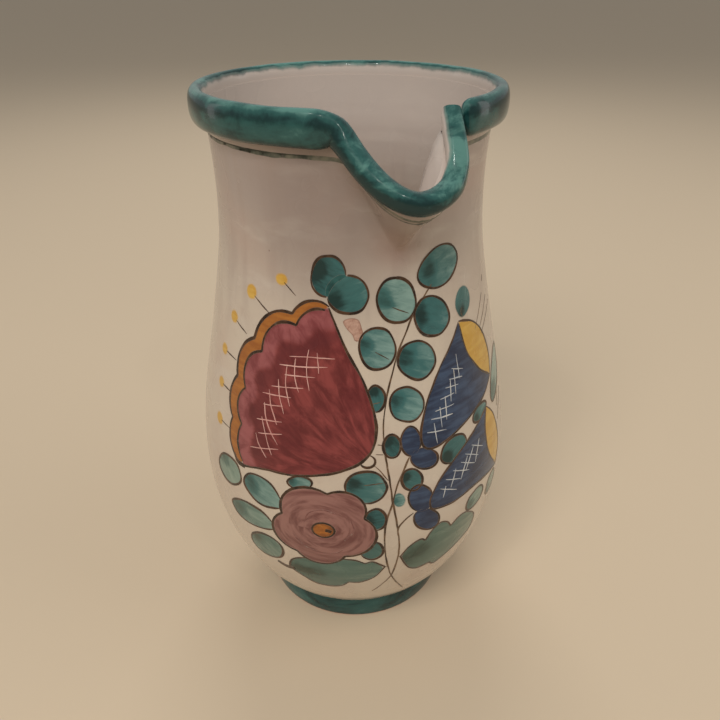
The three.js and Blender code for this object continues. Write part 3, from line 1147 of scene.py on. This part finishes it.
def leaf_outline(middle, length, width, point, steps=44, shaky=0.0):
    """Round or pointed at the near end of its length, drawn by an unsteady hand."""
    middle, length, width = Vector(middle), Vector(length), Vector(width)
    line = []
    for i in range(steps):
        turn = 2 * math.pi * i / steps
        along, side = pointed(math.cos(turn), math.sin(turn), point)
        at = Vector((math.cos(turn), math.sin(turn), 0.7)) * 1.3 + middle.to_3d()
        off = 1 + shaky * noise.noise(at)
        line.append(middle + (length * along + width * side) * off)
    return line


def make_leaf_wash(leaf, lift):
    """One filled round, inset four times, then shaped and draped."""
    middle, length, width = Vector(leaf.middle), Vector(leaf.length), Vector(leaf.width)
    bpy.ops.object.select_all(action="DESELECT")
    bpy.ops.mesh.primitive_circle_add(vertices=44, radius=1, fill_type="NGON")
    piece = new_piece("leaf")
    bpy.ops.object.mode_set(mode="EDIT")
    bpy.ops.mesh.select_all(action="SELECT")
    for _ in range(4):
        bpy.ops.mesh.inset(thickness=0.2)
    bpy.ops.mesh.poke()
    bpy.ops.object.mode_set(mode="OBJECT")
    if piece.data.polygons[0].normal.z < 0:
        piece.data.flip_normals()
    long, short = max(length.length, width.length), min(length.length, width.length)
    turned = Matrix.Rotation(math.radians(180 - leaf.blob), 2)
    spread = 1.03
    flat, edges, local = [], [], []
    for corner in piece.data.vertices:
        x, y = corner.co.xy
        along, side = pointed(x, y, leaf.point)
        off = (length * along + width * side) * spread
        flat.append(middle + off)
        edges.append((1 - min(1.0, math.hypot(x, y))) * short)
        local.append(turned @ (off / long))
    put_marks(piece, flat, edges, {"tone": [leaf.tone] * len(flat), "load": [leaf.load] * len(flat)})
    layer = piece.data.uv_layers.new(name="leaf")
    for loop in piece.data.loops:
        layer.data[loop.index].uv = local[loop.vertex_index]
    for corner, place in zip(piece.data.vertices, flat):
        corner.co = draped(place.x, place.y, lift)
    face_outward(piece)
    thicken(piece)
    return piece


# Long leaves with a wavy edge
WAVY_RIGHT = (
    smooth_line([(-4.0, 72.8), (-0.4, 78.5), (5.0, 81.7), (7.8, 79.6)], 8)
    + smooth_line([(8.2, 80.0), (10.7, 84.6), (15.1, 87.8), (19.3, 86.0), (22.0, 81.6)], 8)
    + smooth_line([(22.5, 81.8), (27.0, 84.6), (33.0, 83.5), (40.5, 76.0), (40.5, 66.0), (33.0, 61.5),
                   (23.7, 57.1), (17.5, 54.5), (13.5, 57.8)], 8)
    + smooth_line([(13.0, 58.0), (6.4, 57.6), (1.5, 61.0), (-2.0, 67.5)], 8))
WAVY_LEFT = (
    smooth_line([(-58.0, 60.5), (-56.0, 66.5), (-51.0, 70.8), (-40.0, 74.0), (-26.6, 74.5),
                 (-20.6, 71.2)], 8)
    + smooth_line([(-20.0, 71.2), (-17.3, 72.2), (-14.0, 69.8), (-11.0, 66.6)], 8)
    + smooth_line([(-11.5, 66.0), (-15.5, 58.6), (-22.7, 53.8), (-28.0, 54.2)], 8)
    + smooth_line([(-28.6, 53.8), (-32.0, 49.8), (-38.0, 48.0), (-45.3, 48.7), (-51.3, 53.4),
                   (-57.0, 58.4)], 8))

# ---------------------------------------------------------------- flowers
SCALLOPS_OUT = [(-35.6, 198.5), (-46.7, 199.9), (-54.0, 194.1), (-66.3, 192.2), (-75.6, 179.3),
                (-84.2, 172.2), (-85.8, 158.9), (-90.4, 148.2), (-87.0, 137.9), (-88.0, 127.0),
                (-81.4, 116.8)]
SCALLOPS_IN = [(-37.5, 197.0), (-45.9, 196.1), (-51.7, 189.5), (-64.2, 187.6), (-70.3, 174.8),
               (-79.4, 168.6), (-79.5, 155.2), (-84.0, 146.2), (-80.2, 137.5), (-82.3, 128.2),
               (-78.5, 118.4)]
BURGUNDY_SIDE = [(-35.8, 198.0), (-27.6, 181.0), (-19.2, 165.5), (-14.8, 147.5), (-18.4, 134.2),
                 (-30.0, 126.8), (-49.0, 122.0), (-66.0, 120.0), (-80.5, 115.8)]
ROSE = [(-57.4, 99.0), (-52.6, 114.0), (-36.4, 114.7), (-24.4, 114.4), (-20.8, 101.5), (-15.4, 89.5),
        (-29.4, 77.1), (-39.5, 70.0), (-51.7, 76.1), (-62.6, 86.0), (-57.4, 99.0)]
BELL_ONE = [(32.8, 183.2), (27.0, 176.0), (18.4, 167.1), (11.4, 156.9), (7.2, 147.5), (5.3, 139.0),
            (6.8, 133.3), (12.0, 131.6), (22.3, 134.0), (36.6, 138.6), (48.0, 142.4), (57.2, 148.0)]
MOUTH_ONE_IN = [(33.2, 182.4), (36.7, 169.5), (42.5, 160.7), (48.6, 154.3), (57.2, 148.4)]
MOUTH_ONE_OUT = [(33.2, 183.4), (42.5, 180.9), (51.0, 175.2), (57.2, 166.5), (59.6, 157.4), (57.4, 148.2)]
BELL_TWO = [(48.3, 136.0), (38.1, 130.5), (26.2, 123.8), (15.8, 116.0), (10.0, 107.5), (9.0, 102.0),
            (11.5, 98.4), (21.8, 97.2), (35.3, 98.4), (48.0, 97.0), (60.2, 94.4)]
MOUTH_TWO_IN = [(48.6, 136.0), (46.2, 127.5), (47.0, 117.0), (51.0, 106.5), (60.2, 94.8)]
MOUTH_TWO_OUT = [(48.9, 135.8), (56.0, 128.0), (61.6, 115.3), (63.4, 103.8), (60.8, 94.4)]
BELLS = [(BELL_ONE, MOUTH_ONE_IN, MOUTH_ONE_OUT), (BELL_TWO, MOUTH_TWO_IN, MOUTH_TWO_OUT)]
LOBES = [((0.5, 137.9), (0.4, 6.9), (4.7, -1.1)), ((6.7, 127.8), (0.2, 5.2), (6.7, -2.1)),
         ((4.5, 107.3), (0.0, 7.5), (6.0, -2.1)), ((7.7, 93.8), (-0.4, 6.7), (6.7, -2.9))]
HEART = ((-38.5, 93.8), (4.9, -0.4), (0.6, 4.4))
# Middle of each pollen dot, its half sizes, and where its stalk ends
POLLEN = [((-60.3, 207.3), 3.6, 2.6, (-52.4, 201.8)), ((-79.3, 198.6), 3.8, 3.2, (-67.3, 192.2)),
          ((-92.3, 184.0), 3.4, 2.9, (-81.3, 179.4)), ((-99.5, 166.3), 3.2, 2.8, (-87.8, 165.2)),
          ((-99.6, 149.8), 3.0, 2.8, (-90.4, 149.0)), ((-98.2, 131.7), 3.2, 3.2, (-88.2, 131.1))]
# Points along each stem and its width
STEMS = [
    ([(16.6, 203.4), (9.7, 197.5), (4.9, 192.4), (0.3, 184.7), (-3.5, 178.0), (-6.5, 169.8), (-9.0, 162.2),
      (-11.3, 150.6), (-11.8, 143.5), (-11.3, 134.0), (-9.6, 120.0), (-8.4, 108.6), (-6.4, 95.0),
      (-5.0, 80.2), (-5.6, 68.3), (-7.4, 57.0), (-11.4, 48.6), (-15.9, 41.4)], 0.85),
    ([(-0.6, 130.5), (-3.7, 124.1), (-6.7, 116.7), (-8.7, 107.9), (-10.9, 100.2), (-11.8, 92.6),
      (-11.8, 83.1), (-10.6, 72.3), (-8.1, 60.2), (-3.6, 48.5), (3.2, 36.0)], 0.85),
    ([(1.0, 100.2), (-2.6, 97.6), (-5.8, 93.3), (-6.0, 88.6)], 0.9),
    ([(-16.2, 129.1), (-13.2, 125.5), (-10.3, 120.9)], 0.55),
    ([(-14.5, 138.8), (-12.3, 138.3)], 0.7), ([(-15.4, 134.4), (-12.2, 133.9)], 0.7),
    ([(-11.6, 67.0), (-9.6, 66.0)], 0.7), ([(-5.4, 73.2), (-3.6, 73.0)], 0.7),
    ([(36.6, 184.8), (35.6, 186.8), (36.6, 188.6)], 0.6),
    ([(-14.2, 179.7), (-7.9, 175.8)], 0.5), ([(-5.2, 197.3), (3.1, 193.8)], 0.5),
    ([(-20.6, 119.6), (-12.0, 119.9)], 0.5), ([(-16.2, 157.2), (-12.6, 157.8)], 0.6),
    ([(46.7, 175.0), (53.5, 182.0), (59.5, 188.0)], 0.35),
    ([(52.0, 174.0), (60.0, 180.0), (66.5, 184.5)], 0.35),
    ([(53.3, 170.8), (63.0, 176.0), (72.0, 180.0)], 0.35),
    ([(62.0, 192.5), (63.6, 195.0)], 0.7),
    ([(62.5, 128.0), (64.5, 134.0), (68.0, 141.0)], 0.35),
    ([(63.0, 120.0), (66.5, 127.0), (71.0, 134.0)], 0.35),
]
# Where the brush was pressed down: the leaf's tip, the flower's corner, the heart
BLOTS = [
    ([(-65.0, 60.4), (-60.5, 58.8), (-55.6, 59.4)], 3.0),
    ([(-84.4, 120.4), (-82.2, 117.0), (-77.5, 116.4)], 2.6),
    ([(-37.6, 94.0), (-36.2, 93.6), (-34.9, 93.3)], 3.4),
]
HATCH_BURGUNDY = [
    [(-45.2, 180.1), (-46.3, 172.0), (-44.7, 162.4)], [(-41.1, 179.1), (-40.4, 170.3)],
    [(-51.7, 175.4), (-52.0, 168.0), (-49.8, 160.9)], [(-55.9, 171.8), (-56.3, 163.0), (-53.8, 154.0)],
    [(-60.1, 164.8), (-59.3, 158.0), (-56.7, 149.9)], [(-64.9, 159.2), (-63.4, 152.0), (-59.9, 144.1)],
    [(-67.2, 152.5), (-65.0, 143.5), (-59.2, 134.7)], [(-68.1, 145.6), (-65.4, 137.0), (-62.1, 128.8)],
    [(-71.0, 136.8), (-68.9, 131.5), (-64.7, 126.6)],
    [(-54.8, 176.0), (-44.0, 177.0), (-32.9, 177.1)], [(-59.9, 171.4), (-36.3, 173.3)],
    [(-57.0, 167.6), (-42.1, 168.4)], [(-63.7, 161.0), (-47.5, 163.1)], [(-68.5, 156.7), (-53.4, 157.9)],
    [(-67.6, 151.6), (-57.3, 153.2)], [(-70.9, 143.8), (-57.4, 145.9)], [(-69.6, 137.3), (-57.2, 140.2)],
    [(-73.8, 128.7), (-58.7, 132.7)],
]
HATCH_BLUE = [
    [(25.3, 164.4), (32.9, 161.7)], [(23.1, 160.2), (31.8, 158.6)], [(20.4, 157.0), (28.6, 156.0)],
    [(16.9, 152.9), (25.3, 153.2)], [(13.6, 148.4), (24.6, 148.2)], [(11.1, 145.2), (23.2, 144.0)],
    [(8.5, 139.8), (18.8, 138.0)], [(29.0, 170.0), (29.8, 158.5)], [(26.6, 163.9), (26.4, 152.3)],
    [(23.7, 160.3), (23.0, 149.9)], [(19.8, 153.4), (19.4, 142.5)], [(16.2, 149.6), (16.5, 139.9)],
    [(12.4, 143.2), (13.3, 133.3)],
    [(34.1, 123.0), (43.0, 117.4)], [(29.4, 120.7), (38.9, 114.8)], [(26.4, 117.6), (36.0, 112.0)],
    [(21.5, 115.4), (31.7, 110.6)], [(17.3, 112.6), (25.9, 108.8)], [(14.2, 108.7), (23.7, 103.9)],
    [(40.0, 123.5), (36.5, 112.2)], [(35.2, 122.0), (29.6, 111.5)], [(30.8, 119.0), (26.2, 108.2)],
    [(23.2, 115.7), (20.2, 106.8)], [(17.3, 109.0), (15.8, 103.2)],
]
ROSE_STROKES = [
    [(-47.0, 97.0), (-44.5, 103.0), (-38.5, 105.8), (-33.0, 104.2)],
    [(-52.5, 88.0), (-48.0, 81.5), (-41.5, 79.0)], [(-36.0, 78.6), (-31.8, 80.0), (-29.6, 83.4)],
    [(-29.4, 88.0), (-25.4, 94.0), (-26.4, 100.6)],
]
CHIP = [(-29.0, 192.7), (-25.6, 194.0), (-21.8, 193.4), (-20.4, 190.4), (-19.6, 187.0), (-20.8, 184.9),
        (-23.4, 184.5), (-24.7, 187.2), (-27.2, 189.6)]


def burgundy_outline():
    return smooth_line(BURGUNDY_SIDE, 8)[:-1] + list(reversed(scalloped(SCALLOPS_IN)))[:-1]


def bell_outline(side, mouth_in):
    """A side of a bell or of its mouth, closed along the mouth's inner edge."""
    return smooth_line(side, 6) + list(reversed(smooth_line(mouth_in, 6)))[1:-1]


def paint_flowers():
    """Every wash of colour. What is nearer is laid a little higher."""
    nearer = WASH + 0.03
    washes = [make_leaf_wash(leaf, WASH + 0.015 * (i % 2)) for i, leaf in enumerate(LEAVES)]
    washes += [painted_patch("wavy", WAVY_RIGHT, WASH, tone=0.9, load=0.46),
               painted_patch("wavy", WAVY_LEFT, WASH - 0.02, tone=0.75, load=0.52)]
    leaves = joined(washes, "leaf_washes")
    smooth(leaves, 50)
    finish_piece(leaves, wash("leaf_green", leaf_paint, (-0.5, 0.35)))

    petals = scalloped(SCALLOPS_IN)
    flower = painted_patch("burgundy_flower", burgundy_outline(), nearer, petals=petals)
    finish_piece(flower, wash("burgundy", burgundy_paint))
    orange = scalloped(SCALLOPS_OUT) + list(reversed(petals))
    orange = painted_patch("orange_edge", orange, WASH, grid=1.5)
    finish_piece(orange, wash("orange", flat_paint((176, 112, 48), (152, 90, 38))))

    bells = [painted_patch("bell", bell_outline(body, inner), nearer)
             for body, inner, outer in BELLS]
    bells += [painted_patch("lobe", leaf_outline(*lobe, 0), nearer + 0.015) for lobe in LOBES]
    bells = joined(bells, "bell_flowers")
    finish_piece(bells, wash("cobalt", flat_paint((60, 80, 108), (28, 43, 70), 70.0, 0.9)))

    mouths = [painted_patch("mouth", bell_outline(outer, inner), WASH)
              for body, inner, outer in BELLS]
    mouths = joined(mouths, "bell_mouths")
    finish_piece(mouths, wash("yellow", flat_paint((212, 172, 82), (198, 152, 62))))
    dots = [leaf_outline(at, (wide * 1.1, 0), (0, tall * 1.15), 0, 24)
            for at, wide, tall, stalk in POLLEN]
    dots = joined([painted_patch("dot", dot, WASH, grid=1.2) for dot in dots], "pollen_dots")
    pollen = flat_paint((214, 174, 84), (198, 150, 60))
    finish_piece(dots, wash("pollen_yellow", pollen, (-0.4, 0.8)))

    rose = painted_patch("rose", scalloped(ROSE)[:-1], nearer)
    finish_piece(rose, wash("rose_mauve", rose_paint))
    heart = painted_patch("rose_heart", leaf_outline(*HEART, 0, 28), nearer + 0.03, grid=1.5)
    finish_piece(heart, wash("heart_orange", flat_paint((176, 106, 40), (118, 66, 28), 260.0)))
    chip = painted_patch("bare_patch", smooth_line(CHIP, 4, closed=True), WASH + 0.02, grid=1.5)
    finish_piece(chip, chip_clay())


def paint_lines():
    """Every drawn line. An outline stops where a nearer shape hides it."""
    lines = []

    def draw(points, width, closed=False, smooth_steps=8, **kind):
        if smooth_steps:
            points = smooth_line(points, smooth_steps, closed)
        points = [Vector(p) for p in points]
        lines.append(stroke(points, width, LINE, closed=closed, seed=len(lines) * 0.73, **kind))

    def draw_round(outline, width, covers):
        runs, whole = stretches(outline, lambda p: not any(inside(p, cover) for cover in covers))
        for run in runs:
            draw(run, width, whole, 0)

    rose = scalloped(ROSE)[:-1]
    burgundy = burgundy_outline()
    bells = [bell_outline(body, inner) for body, inner, outer in BELLS]
    rounds = [leaf_outline(leaf.middle, leaf.length, leaf.width, leaf.point, shaky=0.07)
              for leaf in LEAVES]
    for i, leaf in enumerate(LEAVES):
        if leaf.outlined:
            # The first two leaves overlap, and neither line crosses the other
            pair = [rounds[1 - i]] if i < 2 else []
            draw_round(rounds[i], 1.35, [rose, burgundy] + bells + pair)
    draw(WAVY_RIGHT, 1.1, True, 0)
    draw_round(WAVY_LEFT, 1.1, [rose])
    draw(BURGUNDY_SIDE, 1.5)
    draw(scalloped(SCALLOPS_OUT), 1.6, smooth_steps=0)
    draw(scalloped(SCALLOPS_IN), 1.4, smooth_steps=0)
    draw(rose, 1.5, True, 0)
    draw(leaf_outline(*HEART, 0), 1.2, True, 0)
    for body, inner, outer in BELLS:
        draw(body, 1.2)
        draw(inner, 1.0)
        draw(outer, 1.05)
    lobes = [leaf_outline(*lobe, 0, shaky=0.05) for lobe in LOBES]
    for i, lobe in enumerate(lobes):
        # The lobes lie in pairs: 0 with 1, and 2 with 3
        draw_round(lobe, 1.2, bells + [lobes[i ^ 1]])
    for points, width in BLOTS:
        draw(points, width, taper=(0.8, 0.8))
    for at, wide, tall, stalk in POLLEN:
        draw([Vector(at).lerp(Vector(stalk), 0.2), stalk], 0.65, smooth_steps=0)
    draw_round(leaf_outline((-18.9, 131.3), (3.2, 0), (0, 2.9), 0), 1.4, [burgundy])
    strokes_piece("brush_lines", lines, line_glaze("brown_line", (34, 20, 13), (78, 52, 34), 0.1))

    # Where the two top leaves overlap the wet greens ran together
    runs, _ = stretches(rounds[1], lambda p: inside(p, rounds[0]))
    seams = [stroke(run, 2.4, LINE - 0.04, seed=2.2) for run in runs]
    strokes_piece("leaf_seam", seams, line_glaze("seam_green", (22, 66, 66), (44, 96, 94), 0.0))

    stems = [stroke(smooth_line(points, 8), width * 1.15, LINE - 0.03, seed=i * 0.61)
             for i, (points, width) in enumerate(STEMS)]
    brown = line_glaze("stem_brown", (60, 42, 28), (112, 86, 62), 0.2)
    strokes_piece("stem_lines", stems, brown)

    pink = line_glaze("pink_scratch", (226, 178, 168), (206, 148, 140), 0.5)
    white = line_glaze("white_scratch", (206, 208, 206), (176, 184, 192), 0.4)
    for name, marks, drift, material in (("pink_hatching", HATCH_BURGUNDY, 0.37, pink),
                                         ("white_hatching", HATCH_BLUE, 0.41, white)):
        scratches = [stroke(smooth_line(line, 5), 0.55, SCRATCH, seed=i * drift)
                     for i, line in enumerate(marks)]
        strokes_piece(name, scratches, material)
    swirls = [stroke(smooth_line(line, 6), 1.0, SCRATCH - 0.02, seed=i * 0.53, taper=(0.2, 0.2))
              for i, line in enumerate(ROSE_STROKES)]
    mauve = line_glaze("mauve_line", (112, 66, 64), (140, 92, 86), 0.6)
    strokes_piece("rose_strokes", swirls, mauve)


def paint_neck_line():
    """The soft dull green line that follows the small step under the roll: partly a glaze line, partly
    painted shade under the step.
    """
    steps = 360
    line = []
    for i in range(steps):
        angle = 2 * math.pi * (i / steps - 0.5)
        line.append(Vector((angle * DRAWING_RADIUS, ledge(angle) - 0.5)))
    ribbon = stroke(line, 3.0, 0.07, gap=1.3, closed=True, seed=4.2)
    # Dull green line, darkened as painted shade under the step
    green = line_glaze("neck_line_glaze_and_shade", (78, 84, 74), (122, 120, 104), 0.3)
    strokes_piece("neck_line_with_shade", [ribbon], green)


# ---------------------------------------------------------------- make it all
cream = cream_glaze()
finish_piece(make_wall(), cream, "vessel_wall")
finish_piece(make_roll(), rim_glaze(), "mouth_collar", "beak_lip", slot="green_glaze")
finish_piece(make_foot(), foot_glaze(), "foot", slot="green_glaze")
finish_piece(make_handle(), cream, "handle")
paint_flowers()
paint_lines()
paint_neck_line()


# ---------------------------------------------------------------- floor, light, camera
def make_floor():
    bpy.ops.object.select_all(action="DESELECT")
    bpy.ops.mesh.primitive_plane_add(size=60)
    floor = new_piece("floor")
    material = bpy.data.materials.new("pale_floor")
    material.use_nodes = True
    shader = material.node_tree.nodes["Principled BSDF"]
    shader.inputs["Base Color"].default_value = srgb(210, 192, 166)
    shader.inputs["Roughness"].default_value = 0.6
    floor.data.materials.append(material)


def area_light(name, place, aim, size, power, colour, mirrored=True):
    """A soft lamp; one that is not mirrored leaves no bright spot in the glaze."""
    lamp = bpy.data.lights.new(name, "AREA")
    lamp.shape = "RECTANGLE"
    lamp.size, lamp.size_y = size
    lamp.energy = power
    lamp.color = colour
    light = bpy.data.objects.new(name, lamp)
    light.location = place
    light.rotation_euler = (Vector(aim) - Vector(place)).to_track_quat("-Z", "Y").to_euler()
    light.visible_glossy = mirrored
    bpy.context.collection.objects.link(light)


def make_world():
    world = bpy.data.worlds.new("studio")
    world.use_nodes = True
    back = world.node_tree.nodes["Background"]
    back.inputs["Color"].default_value = (0.92, 0.90, 0.87, 1)
    back.inputs["Strength"].default_value = 0.34
    bpy.context.scene.world = world


def make_camera():
    """Turned 19.5 degrees round from the beak, tilted 31 degrees down."""
    data = bpy.data.cameras.new("camera")
    data.lens = 33.38
    data.sensor_width = 36
    data.clip_start = 0.01
    camera = bpy.data.objects.new("camera", data)
    turn = math.radians(-19.5)
    place = Matrix.Rotation(turn, 4, "Z") @ Vector((0.0037, -0.2986, 0.3161))
    camera.rotation_euler = (
        Matrix.Rotation(turn, 3, "Z")
        @ Matrix.Rotation(math.radians(90 - 30.97), 3, "X")
        @ Matrix.Rotation(math.radians(-0.487), 3, "Z")).to_euler()
    camera.location = place
    bpy.context.collection.objects.link(camera)
    bpy.context.scene.camera = camera


make_floor()
make_world()
area_light("key", (-0.9, -0.9, 1.5), (0, 0, 0.12), (0.8, 0.8), 15.5, (1.0, 0.95, 0.9), False)
area_light("fill", (1.2, -0.6, 0.9), (0, 0, 0.12), (0.9, 0.9), 4, (1.0, 0.97, 0.94), False)
area_light("back", (0.3, 1.1, 1.3), (0, 0, 0.15), (0.8, 0.8), 7, (1.0, 0.97, 0.94), False)
area_light("left_window", (-1.15, 0.8, 0.45), (0, 0, 0.15), (0.2, 0.9), 0.5, (1.0, 0.98, 0.96))
area_light("right_window", (1.4, -0.1, 0.45), (0, 0, 0.15), (0.25, 0.9), 0.8, (1.0, 0.98, 0.96))
for spot in ((-0.35, -1.05, 1.45), (0.15, -1.2, 1.5), (-0.75, -0.6, 1.5)):
    area_light("small_lamp", spot, (0, 0, 0.15), (0.05, 0.05), 0.9, (1.0, 0.96, 0.9))
make_camera()
bpy.context.scene.view_settings.view_transform = "Standard"
